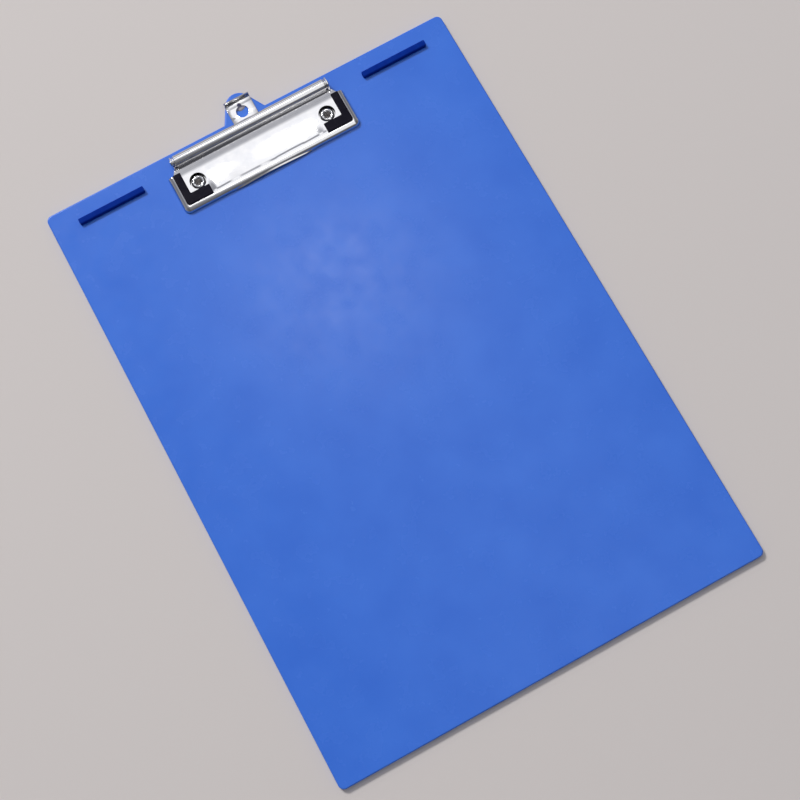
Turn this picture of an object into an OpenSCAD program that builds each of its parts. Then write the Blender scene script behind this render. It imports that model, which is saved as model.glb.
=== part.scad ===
// Flat A4 clipboard: a moulded board with a hang tab, two paper stops, and a low spring clip
// with a rolled hinge, rubber corner grips and a pull-out hanging hook.
// Millimetres, +Z up. The origin is the centre of the board's underside, the hang tab left out.
// The clip is at the +Y end. "Inset" is a distance from the board's top (+Y) edge towards -Y,
// and "outset" is a distance past that edge. The clip is drawn closed, the hook pushed in.

/* [Board] */
// Width of the board
board_w = 225; // [215:1:260]
// Length of the board, without the hang tab
board_l = 315; // [300:1:360]
// Thickness of the board
board_t = 3; // [2.4:0.1:5]
// Radius of the board's corners, seen from above
corner_r = 3; // [2:0.5:12]
// Radius of the rounded edges of the upper face
edge_r = 0.8; // [0.3:0.1:1.2]

/* [Hang tab] */
// Width of the tab where it leaves the board
tab_w = 23; // [20:0.5:30]
// Outset of the tab's tip
tab_reach = 13.2; // [12:0.1:16]
// Radius of the tab's rounded tip
tab_tip_r = 7; // [5:0.1:8]
// Diameter of the hole in the tab
tab_hole_d = 6; // [4:0.1:7]
// Outset of that hole's centre
tab_hole_out = 5.8; // [5:0.1:7]

/* [Paper stops] */
// Length of one stop
stop_l = 36; // [20:0.5:40]
// Width of one stop
stop_w = 3.4; // [2.4:0.1:5]
// Height of a stop above the board
stop_h = 2.2; // [1.4:0.1:4]
// Radius of a stop's rounded edges
stop_round = 0.8; // [0.3:0.1:1]
// Distance from the board's side edge to the stop's near end
stop_side = 14.3; // [12:0.1:16]
// Inset of a stop's centre line
stop_inset = 10.8; // [8:0.1:16]

/* [Clamp plate] */
// Thickness of the clamp plate's sheet
plate_t = 0.6; // [0.4:0.05:0.7]
// Overall width of the clamp plate
clip_w = 99; // [96:0.5:104]
// Inset of the clamp plate's front lip
clip_front = 33.7; // [33:0.1:38]
// Height of the flat panel's upper face above the board
panel_h = 3; // [2.8:0.05:3.6]
// Gap between the closed rim and the board
rim_gap = 0.25; // [0.1:0.05:0.5]
// Radius of the flat panel's front corners, before the rim rounds down
panel_corner_r = 0.4; // [0.2:0.1:1]
// Inset of the shoulders, where the neck widens to the panel
shoulder_inset = 12.9; // [12.6:0.1:13.6]
// How far the neck's cheeks lie inside the clamp plate's side edges
neck_side = 5.4; // [4.6:0.1:6.4]
// How far each side of the neck flares out on its way to the shoulder
neck_flare = 2.1; // [0.5:0.1:2.2]
// Width of the thumb arch cut into the front lip
arch_w = 50; // [30:1:56]
// Height of that arch
arch_h = 1.4; // [0.6:0.1:1.8]
// Diameter of the access hole over each rivet
access_d = 8.6; // [8:0.1:9]

/* [Hinge] */
// Inset of the hinge axis
hinge_inset = 6.7; // [6:0.1:7]
// Height of the hinge axis above the board
hinge_h = 3.9; // [3.7:0.05:4.2]
// Outer radius of the rolled hinge barrel
barrel_r = 2.8; // [2.6:0.05:2.85]
// Angle at which the roll ends, from straight ahead over the top
roll_end = 225; // [200:1:235]
// Middle radius of the valley between barrel and panel
valley_r = 1.2; // [1:0.05:1.4]
// How far the valley lies below the panel
valley_drop = 0.5; // [0.3:0.05:0.55]
// Inset of the bend where the valley's ramp meets the panel
knee_inset = 12.5; // [12:0.05:12.6]
// Side gap between the hinge's neighbouring cheeks, ears and barrel
side_gap = 0.3; // [0.25:0.05:0.5]
// Diameter of the hinge pin
pin_d = 2; // [1.6:0.1:2.1]
// Radial clearance of the pin in the turning cheeks
pin_play = 0.05; // [0.02:0.01:0.08]
// Diameter of the pin's two heads
pin_head_d = 3.2; // [2.6:0.1:4]
// Thickness of a pin head
pin_head_t = 0.5; // [0.3:0.1:1]

/* [Torsion spring] */
// Diameter of the spring wire
wire_d = 0.8; // [0.7:0.05:0.85]
// Middle diameter of the coil
coil_d = 3.2; // [3.1:0.02:3.3]
// Distance from one turn to the next
coil_pitch = 1.3; // [1.3:0.05:1.6]
// Whole turns in the coil, before the last part turn
coil_turns = 18; // [10:1:24]
// Reach of the leg that is held down under the base plate's bridge, ahead of the hinge axis
base_leg = 9; // [7:0.1:14]
// Reach of the leg that bears on the roll's free edge, from the hinge axis
clamp_leg = 3; // [2.9:0.05:3.1]

/* [Base plate] */
// Thickness of the base plate's sheet
base_t = 0.7; // [0.5:0.05:0.8]
// Gap between the base plate's lug and the side arm of the corner grip above it
lug_gap = 0.85; // [0.5:0.05:2]
// Inset of the base plate's front edge
base_front = 30.2; // [29:0.1:30.5]
// Inset of the base plate's rear edge, beside the hook
base_rear = 4.2; // [3.8:0.1:4.6]
// Radius of the ear round the hinge pin
ear_r = 2.4; // [2:0.05:2.45]

/* [Corner grips] */
// Width of the grip's arm along the side
grip_side_w = 4.1; // [3.6:0.1:4.4]
// Width of the grip's arm along the front
grip_front_w = 5.6; // [5:0.1:6]
// Length of the front arm, over the side arm's width
grip_front_l = 14.4; // [12:0.1:15]
// Thickness of the grip's cap on top of the panel
grip_cap_t = 0.5; // [0.3:0.05:1]
// How far the cap overlaps the slot's edge all round
grip_lap = 1; // [0.8:0.05:1.3]
// How far the foot below the panel stays inside the cap's outline
grip_foot_in = 0.4; // [0.3:0.05:0.6]

/* [Rivets] */
// Distance from the clamp plate's side edge to a rivet's centre
rivet_side = 13; // [12.9:0.1:13.3]
// Inset of the rivets
rivet_inset = 21; // [20:0.1:21.2]
// Outer diameter of a rivet's shank
rivet_d = 4; // [3.4:0.1:4.4]
// Wall of the tubular shank
rivet_wall = 0.5; // [0.3:0.05:0.8]
// Diameter of a rivet's two heads, rolled on the base plate and flat under the board
rivet_head_d = 7.2; // [6:0.1:7.4]
// Thickness of the flat head
rivet_head_t = 0.6; // [0.4:0.05:0.75]
// Diameter of the recess under the board for the flat head
recess_d = 8.4; // [7.6:0.1:12]
// Depth of that recess
recess_t = 0.8; // [0.8:0.05:1.2]

/* [Hanging hook] */
// Width of the hook's strip
hook_w = 14; // [13:0.1:15]
// Thickness of the hook's strip
hook_t = 0.8; // [0.6:0.05:0.85]
// Outset of the hook's bent lip, pushed in
hook_out = 9.5; // [9:0.1:11]
// Length of the bent lip
lip_l = 2.6; // [1.6:0.1:4]
// Angle at which the lip stands up
lip_angle = 50; // [30:1:70]
// Diameter of the hanging hole
hook_hole_d = 6.5; // [5:0.1:7]
// Outset of the hanging hole's centre, pushed in
hook_hole_out = 2; // [1.5:0.1:2.5]
// Width of the nail slot above the hanging hole
nail_slot_w = 2; // [1.4:0.1:3]
// Outset of the nail slot's round end
nail_slot_out = 6; // [5.6:0.1:6.4]
// How far the hook pulls out
hook_travel = 15; // [8:0.5:15]
// Inset of the stop dimple that the hook's guide slot runs on
dimple_inset = 12.6; // [12.4:0.1:13]
// Diameter of the stop dimple
dimple_d = 2; // [1.6:0.1:2.2]
// Clearance of the hook in its channel and of the dimple in the guide slot
guide_gap = 0.2; // [0.15:0.05:0.3]

/* [Hidden] */
$fn = 96;

blue = "#4871cd";
navy = "#0b2c89";
nickel = "#c9ccd2";
spring_steel = "#8f9298";
black_rubber = "#191722";

cut = 1;            // how far a cutting tool runs past the face that it cuts
joint = 0.01;       // how far two bodies of one piece run into each other
seat_gap = 0.05;    // between a spring leg and the sheet that it bears on
clear = 0.4;        // between the fixed sheet and the clamp plate that turns over it
arch_fn = 900;      // the thumb arch is a shallow cut by a very large cylinder

// Board and plates
y_top = board_l / 2;
stop_x = board_w / 2 - stop_side - stop_l / 2;
base_top = board_t + base_t;
hinge_z = board_t + hinge_h;
panel_top = board_t + panel_h;
panel_under = panel_top - plate_t;
panel_mid = panel_top - plate_t / 2;

// The hang tab narrows along the two tangents from its root to its round tip
tab_tip = [0, tab_reach - tab_tip_r];
tab_root = [tab_w / 2, 0];
tab_touch_a = atan2(tab_root.y - tab_tip.y, tab_root.x) + acos(tab_tip_r / norm(tab_root - tab_tip));
tab_touch = tab_tip + tab_tip_r * [cos(tab_touch_a), sin(tab_touch_a)];

// The rim is a quarter round from the panel's edge down to just above the board
rim_r = panel_h - rim_gap;
panel_half = clip_w / 2 - rim_r;
panel_front = clip_front - rim_r;

// Section of the clamp plate: rolled barrel, valley, ramp, then the flat panel
barrel_mid = barrel_r - plate_t / 2;
valley_z = panel_mid - valley_drop + valley_r;
valley_in = hinge_inset + sqrt(pow(barrel_mid + valley_r, 2) - pow(hinge_z - valley_z, 2));
roll_start = atan2(valley_z - hinge_z, valley_in - hinge_inset);
knee = [knee_inset, panel_mid];
ramp_span = norm(knee - [valley_in, valley_z]);
ramp_foot_a = atan2(knee.y - valley_z, knee.x - valley_in) - acos(valley_r / ramp_span);
ramp_foot = [valley_in + valley_r * cos(ramp_foot_a), valley_z + valley_r * sin(ramp_foot_a)];

// Hinge, from the outside to the middle: cheek, gap, ear, gap, barrel
neck_w = clip_w - 2 * neck_side;
cheek_in = neck_w / 2 - plate_t;
ear_out = cheek_in - side_gap;
ear_in = ear_out - base_t;
barrel_half = ear_in - side_gap;
neck_inset = hinge_inset + barrel_r + 0.1;    // just ahead of the barrel
cheek_under = base_top + clear;
pin_fit = 0.01;     // radial fit of the pin in the fixed ears
pin_end_play = 0.15;

// Hook and the channel that guides it
channel_half = hook_w / 2 + guide_gap;
hook_lift = 0.1;    // play of the hook under the channel's roof, and of the dimple over the board
channel_z = board_t + hook_t + hook_lift;
channel_rear = neck_inset + clear;
guide_slot_w = dimple_d + 2 * guide_gap;
guide_slot_end = dimple_inset + hook_travel;
slot_wall = 0.8;    // metal left between the guide slot and the hook's tail
hook_tail = guide_slot_end + guide_slot_w / 2 + slot_wall;
lip_root = hook_out - lip_l * cos(lip_angle);

// Corner grips
grip_set = 0.2;     // the cap stops this far behind the rim's bend
grip_out = panel_half;
grip_rear = shoulder_inset - grip_set;
grip_front = panel_front - grip_set;
grip_tip = grip_out - grip_front_l;
grip_round = 1.6;   // the corner of the L; what is drawn in from it keeps at least grip_least_r
grip_least_r = 0.3;
base_shelf = grip_front - grip_front_w - side_gap;    // the grips' front arms lie ahead of this
base_tongue = grip_tip - 2 * side_gap;
lug_out = grip_out - grip_side_w - lug_gap;

// Rivets
rivet_x = clip_w / 2 - rivet_side;
rivet_r = rivet_d / 2;
rivet_bore = rivet_r - rivet_wall;
rivet_hole_play = 0.1;
roll_mid = (rivet_head_d / 2 - rivet_r) / 2;    // middle radius of the roll over the base plate
roll_dip = 25;                                  // angle by which the roll turns down past level
roll_rise = (roll_mid + rivet_wall / 2) * sin(roll_dip);

// Torsion spring: angles run from straight ahead, up over the top. The clamp leg's middle line
// stands off the roll's edge by leg_off, and a bend of radius clamp_bend brings the wire out to it.
wire_r = wire_d / 2;
coil_r = coil_d / 2;
leg_off = wire_r + seat_gap;
base_bend = 1;
clamp_bend = 0.6;
clamp_bend_a = roll_end + 90 - acos((leg_off - clamp_bend) / (coil_r + clamp_bend));
coil_start_a = -5;
coil_end_a = clamp_bend_a + 360 * coil_turns;
coil_x = -coil_pitch * (coil_end_a - coil_start_a) / 720;
rings_per_turn = 8;
wire_sides = 6;

// Bridge that holds the base leg down, with a window behind it where the wire drops through
leg_half = wire_r + side_gap;
bridge_z = board_t + wire_d + 2 * seat_gap;
bridge_rear = valley_in + 2 * clear;
bridge_front = hinge_inset + base_leg + base_t;
window_rear = hinge_inset + coil_r - wire_r - side_gap;
base_leg_z = bridge_z - leg_off - hinge_z;

// Point of the spring's middle line: x, distance ahead of the hinge axis, height over it
function at(x, ahead, up) = [x, y_top - hinge_inset - ahead, hinge_z + up];

function coil_point(a) = at(coil_x + coil_pitch * (a - coil_start_a) / 360, coil_r * cos(a), coil_r * sin(a));

// The base leg drops from the coil's front through the window and runs ahead under the bridge
drop_at = coil_r * cos(coil_start_a);
base_leg_path = [
    at(coil_x, base_leg, base_leg_z),
    for (a = [270:-30:180])
        at(coil_x, drop_at + base_bend + base_bend * cos(a), base_leg_z + base_bend + base_bend * sin(a)),
];

// The clamp leg turns outwards round the roll's free edge and presses that edge up at the rear
bend_turn = clamp_bend_a + 90 - roll_end;
clamp_leg_path = [
    for (i = [1:3]) let (a = clamp_bend_a + 180 - bend_turn * i / 3)
        at(-coil_x, (coil_r + clamp_bend) * cos(clamp_bend_a) + clamp_bend * cos(a),
            (coil_r + clamp_bend) * sin(clamp_bend_a) + clamp_bend * sin(a)),
    at(-coil_x, clamp_leg * cos(roll_end) - leg_off * sin(roll_end),
        clamp_leg * sin(roll_end) + leg_off * cos(roll_end)),
];

coil_rings = ceil((coil_end_a - coil_start_a) * rings_per_turn / 360);
coil_path = [for (i = [0:coil_rings]) coil_point(coil_start_a + (coil_end_a - coil_start_a) * i / coil_rings)];
spring_path = concat(base_leg_path, coil_path, clamp_leg_path);

// Least gap of the wire to itself, between points more than half a turn apart along it
half_turn = rings_per_turn / 2 + 1;
spring_gap = min([for (i = [0:len(spring_path) - 1], j = [i + half_turn:1:len(spring_path) - 1])
    norm(spring_path[i] - spring_path[j])]) - wire_d;
echo(spring_least_gap_mm = spring_gap);

// ---------- shared placing ----------

// A section drawn as [inset, height], carried across the clip's width
module across(width) {
    translate([0, y_top, 0]) rotate([90, 0, -90]) linear_extrude(width, center = true) children();
}

// An outline drawn as [x, inset], between two heights
module flat(z0, z1) {
    translate([0, y_top, z0]) mirror([0, 1, 0]) linear_extrude(z1 - z0) children();
}

module both_sides() {
    children();
    mirror([1, 0, 0]) children();
}

// Rectangle from one corner to the other
module span(a, b) {
    translate(a) square(b - a);
}

// Rounded rectangle about the middle
module round_rect(w, l, r) {
    square([w - 2 * r, l], center = true);
    square([w, l - 2 * r], center = true);
    for (sx = [-1, 1], sy = [-1, 1]) translate([sx * (w / 2 - r), sy * (l / 2 - r)]) circle(r);
}

// Part of a ring of middle radius r and thickness t, from angle a to angle b
module ring_part(r, t, a, b) {
    steps = ceil((b - a) / 30);
    reach = 2 * (r + t);
    intersection() {
        difference() {
            circle(r + t / 2);
            circle(r - t / 2);
        }
        polygon(concat([[0, 0]], [for (i = [0:steps]) let (w = a + (b - a) * i / steps)
            reach * [cos(w), sin(w)]]));
    }
}

// Straight strip of sheet between two points of its middle line
module strip(a, b, t) {
    n = [a.y - b.y, b.x - a.x] / norm(b - a) * t / 2;
    polygon([a + n, a - n, b - n, b + n]);
}

// ---------- board ----------

// What a rounded upper edge takes away, as [distance past the edge, height above the upper face]
module edge_waste() {
    difference() {
        span([-edge_r, -edge_r], [cut, cut]);
        intersection() {
            translate([-edge_r, -edge_r]) circle(edge_r);
            span([-edge_r, -edge_r], [0, 0]);
        }
    }
}

// That waste along a straight edge parallel to X, the board on its -Y side
module straight_waste(l) {
    rotate([90, 0, 90]) linear_extrude(l, center = true) edge_waste();
}

module board_edges() {
    side_l = board_l - 2 * corner_r;
    end_w = board_w - 2 * corner_r;
    beside_tab = board_w / 2 - corner_r - tab_w / 2;
    translate([0, 0, board_t]) {
        both_sides() {
            translate([board_w / 2, 0, 0]) rotate([0, 0, -90]) straight_waste(side_l);
            translate([tab_w / 2 + beside_tab / 2, y_top, 0]) straight_waste(beside_tab);
        }
        rotate([0, 0, 180]) translate([0, y_top, 0]) straight_waste(end_w);
        for (sx = [0, 1], sy = [0, 1]) mirror([sx, 0, 0]) mirror([0, sy, 0])
            translate([board_w / 2 - corner_r, board_l / 2 - corner_r, 0])
                rotate_extrude(angle = 90) translate([corner_r, 0]) edge_waste();
        translate([0, y_top, 0]) tab_edges();
    }
}

module tab_outline() {
    polygon([tab_root, tab_touch, tab_tip, [-tab_touch.x, tab_touch.y], [-tab_root.x, 0],
        [-tab_root.x, -corner_r], [tab_root.x, -corner_r]]);
    translate(tab_tip) circle(tab_tip_r);
}

// What the tab's rounded upper edge takes away, round its tip and down both tangents, whose
// pieces end a hair short of the tip's and of the root's
module tab_edges() {
    translate(tab_tip) rotate(tab_touch_a) rotate_extrude(angle = 180 - 2 * tab_touch_a)
        translate([tab_tip_r, 0]) edge_waste();
    both_sides() translate((tab_root + tab_touch) / 2) rotate(tab_touch_a - 90)
        straight_waste(norm(tab_root - tab_touch) - 2 * joint);
}

module board() {
    color(blue) difference() {
        union() {
            linear_extrude(board_t) round_rect(board_w, board_l, corner_r);
            translate([0, y_top, 0]) linear_extrude(board_t) tab_outline();
        }
        board_edges();
        translate([0, y_top + tab_hole_out, -cut]) cylinder(d = tab_hole_d, h = board_t + 2 * cut);
        both_sides() translate([rivet_x, y_top - rivet_inset, 0]) {
            translate([0, 0, -cut]) cylinder(r = rivet_r + rivet_hole_play, h = board_t + 2 * cut);
            translate([0, 0, -cut]) cylinder(d = recess_d, h = recess_t + cut);
        }
    }
}

// ---------- paper stops ----------

// A rounded strip glued flat to the board, where the paper's top edge comes to rest
module paper_stop() {
    color(navy) intersection() {
        translate([stop_x, 0, 0]) across(stop_l) translate([stop_inset, board_t]) {
            span([-stop_w / 2, 0], [stop_w / 2, stop_h - stop_round]);
            span([stop_round - stop_w / 2, 0], [stop_w / 2 - stop_round, stop_h]);
            for (s = [-1, 1]) translate([s * (stop_w / 2 - stop_round), stop_h - stop_round])
                circle(stop_round);
        }
        translate([stop_x, y_top - stop_inset, board_t])
            linear_extrude(stop_h) round_rect(stop_l, stop_w, stop_round);
    }
}

module paper_stop_right() {
    paper_stop();
}

module paper_stop_left() {
    mirror([1, 0, 0]) paper_stop();
}

// ---------- clip base plate ----------

// One side of the base plate, seen from above: ear strip, rivet lug, then the narrow front
module base_outline() {
    span([channel_half, base_rear], [ear_out, neck_inset]);
    span([channel_half, neck_inset - cut], [lug_out, base_shelf]);
    span([channel_half, base_shelf - cut], [base_tongue, base_front]);
}

// Raised channel in the sheet: what it adds round the hollow, and the hollow itself
module channel_wall(x, half, roof, rear, front) {
    flat(board_t, roof + base_t) span([x - half - base_t, rear], [x + half + base_t, front]);
}

module channel_hollow(x, half, roof, rear, front) {
    flat(board_t - cut, roof) span([x - half, rear - cut], [x + half, front + cut]);
}

module clip_base_plate() {
    color(nickel) {
        difference() {
            union() {
                both_sides() {
                    flat(board_t, base_top) base_outline();
                    ear();
                }
                channel_wall(0, channel_half, channel_z, channel_rear, base_front);
                channel_wall(coil_x, leg_half, bridge_z, bridge_rear, bridge_front);
            }
            channel_hollow(0, channel_half, channel_z, channel_rear, base_front);
            channel_hollow(coil_x, leg_half, bridge_z, bridge_rear, bridge_front);
            flat(board_t - cut, base_top + cut) span([coil_x - leg_half, window_rear], [coil_x + leg_half, bridge_rear]);
            both_sides() translate([rivet_x, y_top - rivet_inset, board_t - cut])
                cylinder(r = rivet_r + seat_gap, h = base_t + 2 * cut);
        }
        // stop dimple, pressed down from the hook channel's roof into the hook's guide slot
        flat(board_t + hook_lift, channel_z + base_t) translate([0, dimple_inset]) circle(d = dimple_d);
    }
}

// Ear bent up from the base plate's side, round the hinge pin
module ear() {
    difference() {
        translate([ear_in + base_t / 2, 0, 0]) across(base_t) {
            translate([hinge_inset, hinge_z]) circle(ear_r);
            span([hinge_inset - ear_r, board_t], [hinge_inset + ear_r, hinge_z]);
        }
        translate([ear_in - cut, y_top - hinge_inset, hinge_z])
            rotate([0, 90, 0]) cylinder(r = pin_d / 2 + pin_fit, h = base_t + 2 * cut);
    }
}

// ---------- clamp plate ----------

// Section of the sheet, as [inset, height]
module sheet_section() {
    translate([hinge_inset, hinge_z]) ring_part(barrel_mid, plate_t, roll_start, roll_end);
    translate([valley_in, valley_z]) ring_part(valley_r, plate_t, 180 + roll_start, 360 + ramp_foot_a);
    strip(ramp_foot, knee, plate_t);
    translate(knee) circle(d = plate_t);
    strip(knee, [panel_front + cut, panel_mid], plate_t);
}

// Half of the flat sheet, seen from above, without its rim
module sheet_outline() {
    span([0, hinge_inset - barrel_r - cut], [barrel_half, neck_inset + cut]);
    polygon([[0, neck_inset], [neck_w / 2, neck_inset], [neck_w / 2 + neck_flare, shoulder_inset],
        [0, shoulder_inset]]);
    span([0, shoulder_inset - joint], [panel_half, panel_front - panel_corner_r]);
    span([0, shoulder_inset], [panel_half - panel_corner_r, panel_front]);
    translate([panel_half, panel_front] - panel_corner_r * [1, 1]) circle(panel_corner_r);
}

// Quarter round of the rim, as [distance outwards, height above its lower edge]
module rim_section() {
    intersection() {
        difference() {
            circle(rim_r);
            circle(rim_r - plate_t);
        }
        square(rim_r);
    }
}

// Rim down one side, round the corner and across the front
module rim_half() {
    run_l = panel_front - panel_corner_r - shoulder_inset;
    translate([0, 0, panel_top - rim_r]) {
        translate([panel_half, y_top - shoulder_inset, 0]) rotate([90, 0, 0]) linear_extrude(run_l) rim_section();
        translate([panel_half - panel_corner_r, y_top - panel_front + panel_corner_r, 0]) rotate([0, 0, -90])
            rotate_extrude(angle = 90) translate([panel_corner_r, 0]) rim_section();
    }
    front_w = panel_half - panel_corner_r;
    translate([front_w / 2, 0, 0]) across(front_w) translate([panel_front, panel_top - rim_r]) rim_section();
}

// Cheek beside the ear, with the flaring wall that joins it to the shoulder
module cheek() {
    difference() {
        union() {
            translate([cheek_in + plate_t / 2, 0, 0]) across(plate_t) {
                translate([hinge_inset, hinge_z]) circle(barrel_r);
                polygon([[hinge_inset, hinge_z - barrel_r], [neck_inset + plate_t, cheek_under],
                    [neck_inset + plate_t, panel_mid - valley_drop], [hinge_inset, hinge_z]]);
            }
            intersection() {
                flat(board_t, panel_top) polygon([[cheek_in, neck_inset], [neck_w / 2, neck_inset],
                    [neck_w / 2 + neck_flare, shoulder_inset], [cheek_in + neck_flare, shoulder_inset]]);
                across(clip_w) polygon([[neck_inset, cheek_under], [neck_inset, valley_z - valley_r],
                    [valley_in, valley_z - valley_r], ramp_foot, knee, [shoulder_inset, panel_mid],
                    [shoulder_inset, cheek_under]]);
            }
        }
        translate([cheek_in - cut, y_top - hinge_inset, hinge_z])
            rotate([0, 90, 0]) cylinder(r = pin_d / 2 + pin_play, h = plate_t + 2 * cut);
    }
}

module clamp_plate() {
    arch_r = (pow(arch_w / 2, 2) + arch_h * arch_h) / (2 * arch_h);
    color(nickel) difference() {
        union() {
            intersection() {
                across(clip_w) sheet_section();
                both_sides() flat(board_t, hinge_z + 2 * barrel_r) sheet_outline();
            }
            both_sides() {
                rim_half();
                cheek();
            }
        }
        both_sides() {
            translate([rivet_x, y_top - rivet_inset, panel_under - cut])
                cylinder(d = access_d, h = plate_t + 2 * cut);
            flat(panel_under - cut, panel_top + cut) grip_outline(grip_lap);
        }
        translate([0, y_top - panel_front - rim_r / 2, panel_top - rim_r + arch_h - arch_r]) rotate([-90, 0, 0])
            cylinder(r = arch_r, h = rim_r + cut, center = true, $fn = arch_fn);
    }
}

// ---------- corner grips ----------

// L of one grip, drawn in by d all round
module grip_outline(d) {
    r = max(grip_round - d, grip_least_r);
    span([grip_out - grip_side_w + d, grip_rear + d], [grip_out - d, grip_front - d - r]);
    span([grip_tip + d, grip_front - grip_front_w + d], [grip_out - d - r, grip_front - d]);
    translate([grip_out - d - r, grip_front - d - r]) circle(r);
}

module corner_grip() {
    color(black_rubber) {
        flat(board_t, panel_under) grip_outline(grip_foot_in);
        flat(panel_under, panel_top) grip_outline(grip_lap);
        flat(panel_top, panel_top + grip_cap_t) grip_outline(0);
    }
}

module corner_grip_right() {
    corner_grip();
}

module corner_grip_left() {
    mirror([1, 0, 0]) corner_grip();
}

// ---------- hinge pin ----------

module hinge_pin() {
    head_at = neck_w / 2 + pin_end_play;
    color(spring_steel) translate([0, y_top - hinge_inset, hinge_z]) rotate([0, 90, 0]) {
        cylinder(d = pin_d, h = 2 * head_at, center = true);
        for (s = [-1, 1]) translate([0, 0, s * (head_at + pin_head_t / 2)])
            cylinder(d = pin_head_d, h = pin_head_t, center = true);
    }
}

// ---------- torsion spring ----------

function unit(v) = v / norm(v);
function run_at(p, i) = unit(p[min(i + 1, len(p) - 1)] - p[max(i - 1, 0)]);

// A tube of n sides round a path that stays nearly square to the X axis, as one closed skin
module tube(p, r, n) {
    last = len(p) - 1;
    points = [for (i = [0:last]) let (t = run_at(p, i), u = unit([1, 0, 0] - t.x * t), v = cross(t, u))
        for (k = [0:n - 1]) p[i] + r * (cos(360 * k / n) * u + sin(360 * k / n) * v)];
    sides = [for (i = [0:last - 1], k = [0:n - 1]) let (a = i * n + k, b = i * n + (k + 1) % n)
        each [[a, a + n, b], [b, a + n, b + n]]];
    ends = [for (k = [1:n - 2]) each [[0, k, k + 1], [last * n, last * n + k + 1, last * n + k]]];
    polyhedron(points, concat(sides, ends));
}

module torsion_spring() {
    color(spring_steel) tube(spring_path, wire_r, wire_sides);
}

// ---------- rivets ----------

// Tubular rivet: flat head in the recess under the board, the other end rolled over the base plate
module rivet() {
    rim = rivet_head_t / 2;
    color(nickel) translate([rivet_x, y_top - rivet_inset, 0]) rotate_extrude() {
        span([rivet_bore, recess_t - rivet_head_t], [rivet_r, base_top + roll_rise + seat_gap]);
        translate([rivet_r - rivet_wall / 2 + roll_mid, base_top + roll_rise])
            ring_part(roll_mid, rivet_wall, -roll_dip, 180);
        span([rivet_bore, recess_t - rivet_head_t], [rivet_head_d / 2 - rim, recess_t]);
        translate([rivet_head_d / 2 - rim, recess_t - rim]) circle(rim);
    }
}

module rivet_right() {
    rivet();
}

module rivet_left() {
    mirror([1, 0, 0]) rivet();
}

// ---------- hanging hook ----------

// Section of the strip and its bent lip, as [inset, height]
module hook_section() {
    root = [-lip_root, board_t + hook_t / 2];
    tip = root + (lip_l - hook_t / 2) * [-cos(lip_angle), sin(lip_angle)];
    strip([hook_tail, root.y], root, hook_t);
    translate(root) circle(d = hook_t);
    strip(root, tip, hook_t);
    translate(tip) circle(d = hook_t);
}

module hanging_hook() {
    color(nickel) difference() {
        across(hook_w) hook_section();
        translate([0, y_top + hook_hole_out, board_t - cut]) cylinder(d = hook_hole_d, h = hook_t + 2 * cut);
        flat(board_t - cut, board_t + hook_t + cut) {
            span([-nail_slot_w / 2, -nail_slot_out], [nail_slot_w / 2, -hook_hole_out]);
            translate([0, -nail_slot_out]) circle(d = nail_slot_w);
            span([-guide_slot_w / 2, dimple_inset], [guide_slot_w / 2, guide_slot_end]);
            for (t = [dimple_inset, guide_slot_end]) translate([0, t]) circle(d = guide_slot_w);
        }
    }
}

board();
paper_stop_left();
paper_stop_right();
clip_base_plate();
clamp_plate();
corner_grip_left();
corner_grip_right();
hinge_pin();
torsion_spring();
rivet_left();
rivet_right();
hanging_hook();
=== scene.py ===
import math

import bpy
import numpy as np
from mathutils import Matrix, Vector


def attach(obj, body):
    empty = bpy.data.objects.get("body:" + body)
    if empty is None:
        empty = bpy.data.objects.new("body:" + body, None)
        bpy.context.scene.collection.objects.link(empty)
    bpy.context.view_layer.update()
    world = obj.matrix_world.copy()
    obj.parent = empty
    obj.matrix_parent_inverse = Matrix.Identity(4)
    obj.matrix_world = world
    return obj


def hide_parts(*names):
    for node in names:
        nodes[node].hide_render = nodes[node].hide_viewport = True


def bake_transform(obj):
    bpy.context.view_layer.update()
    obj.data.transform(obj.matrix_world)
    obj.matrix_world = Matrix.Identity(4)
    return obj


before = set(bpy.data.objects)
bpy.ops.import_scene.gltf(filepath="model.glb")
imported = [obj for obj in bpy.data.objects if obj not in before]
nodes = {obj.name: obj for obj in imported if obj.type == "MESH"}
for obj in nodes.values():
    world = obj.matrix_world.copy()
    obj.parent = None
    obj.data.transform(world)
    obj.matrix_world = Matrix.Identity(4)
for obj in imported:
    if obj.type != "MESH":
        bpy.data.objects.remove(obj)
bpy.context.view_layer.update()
mm = 0.001
print("frame loaded:", len(nodes), "CAD nodes")


# colours and nodes

def hexToLinear(text):
    # sRGB hex to linear: a channel below 0.04045 is divided by 12.92, above it raised to 2.4
    channels = [int(text[i:i + 2], 16) / 255 for i in (1, 3, 5)]
    return tuple(c / 12.92 if c <= 0.04045 else ((c + 0.055) / 1.055) ** 2.4 for c in channels) + (1.0,)


def addNode(tree, kind, settings=None, links=None):
    # a node; settings go to its properties or inputs, links join other nodes' outputs to its inputs,
    # and stops fill a colour ramp with positions and colours
    node = tree.nodes.new("ShaderNode" + kind)
    for key, value in (settings or {}).items():
        if key == "stops":
            ramp = node.color_ramp.elements
            for position, colour in value[len(ramp):]:
                ramp.new(position)
            for element, (position, colour) in zip(ramp, value):
                element.position = position
                element.color = hexToLinear(colour) if isinstance(colour, str) else (*colour, 1)
        elif isinstance(key, str) and hasattr(node, key):
            setattr(node, key, value)
        else:
            node.inputs[key].default_value = value
    for key, source in (links or {}).items():
        socket = source if isinstance(source, bpy.types.NodeSocket) else source.outputs[0]
        tree.links.new(socket, node.inputs[key])
    return node


def newMaterial(name):
    # a material with nothing in it yet
    made = bpy.data.materials.new(name)
    made.use_nodes = True
    made.node_tree.nodes.clear()
    return made, made.node_tree


def perMm(size):
    # the scale that makes a noise's blots about size mm across
    return 1 / (size * mm)


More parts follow.
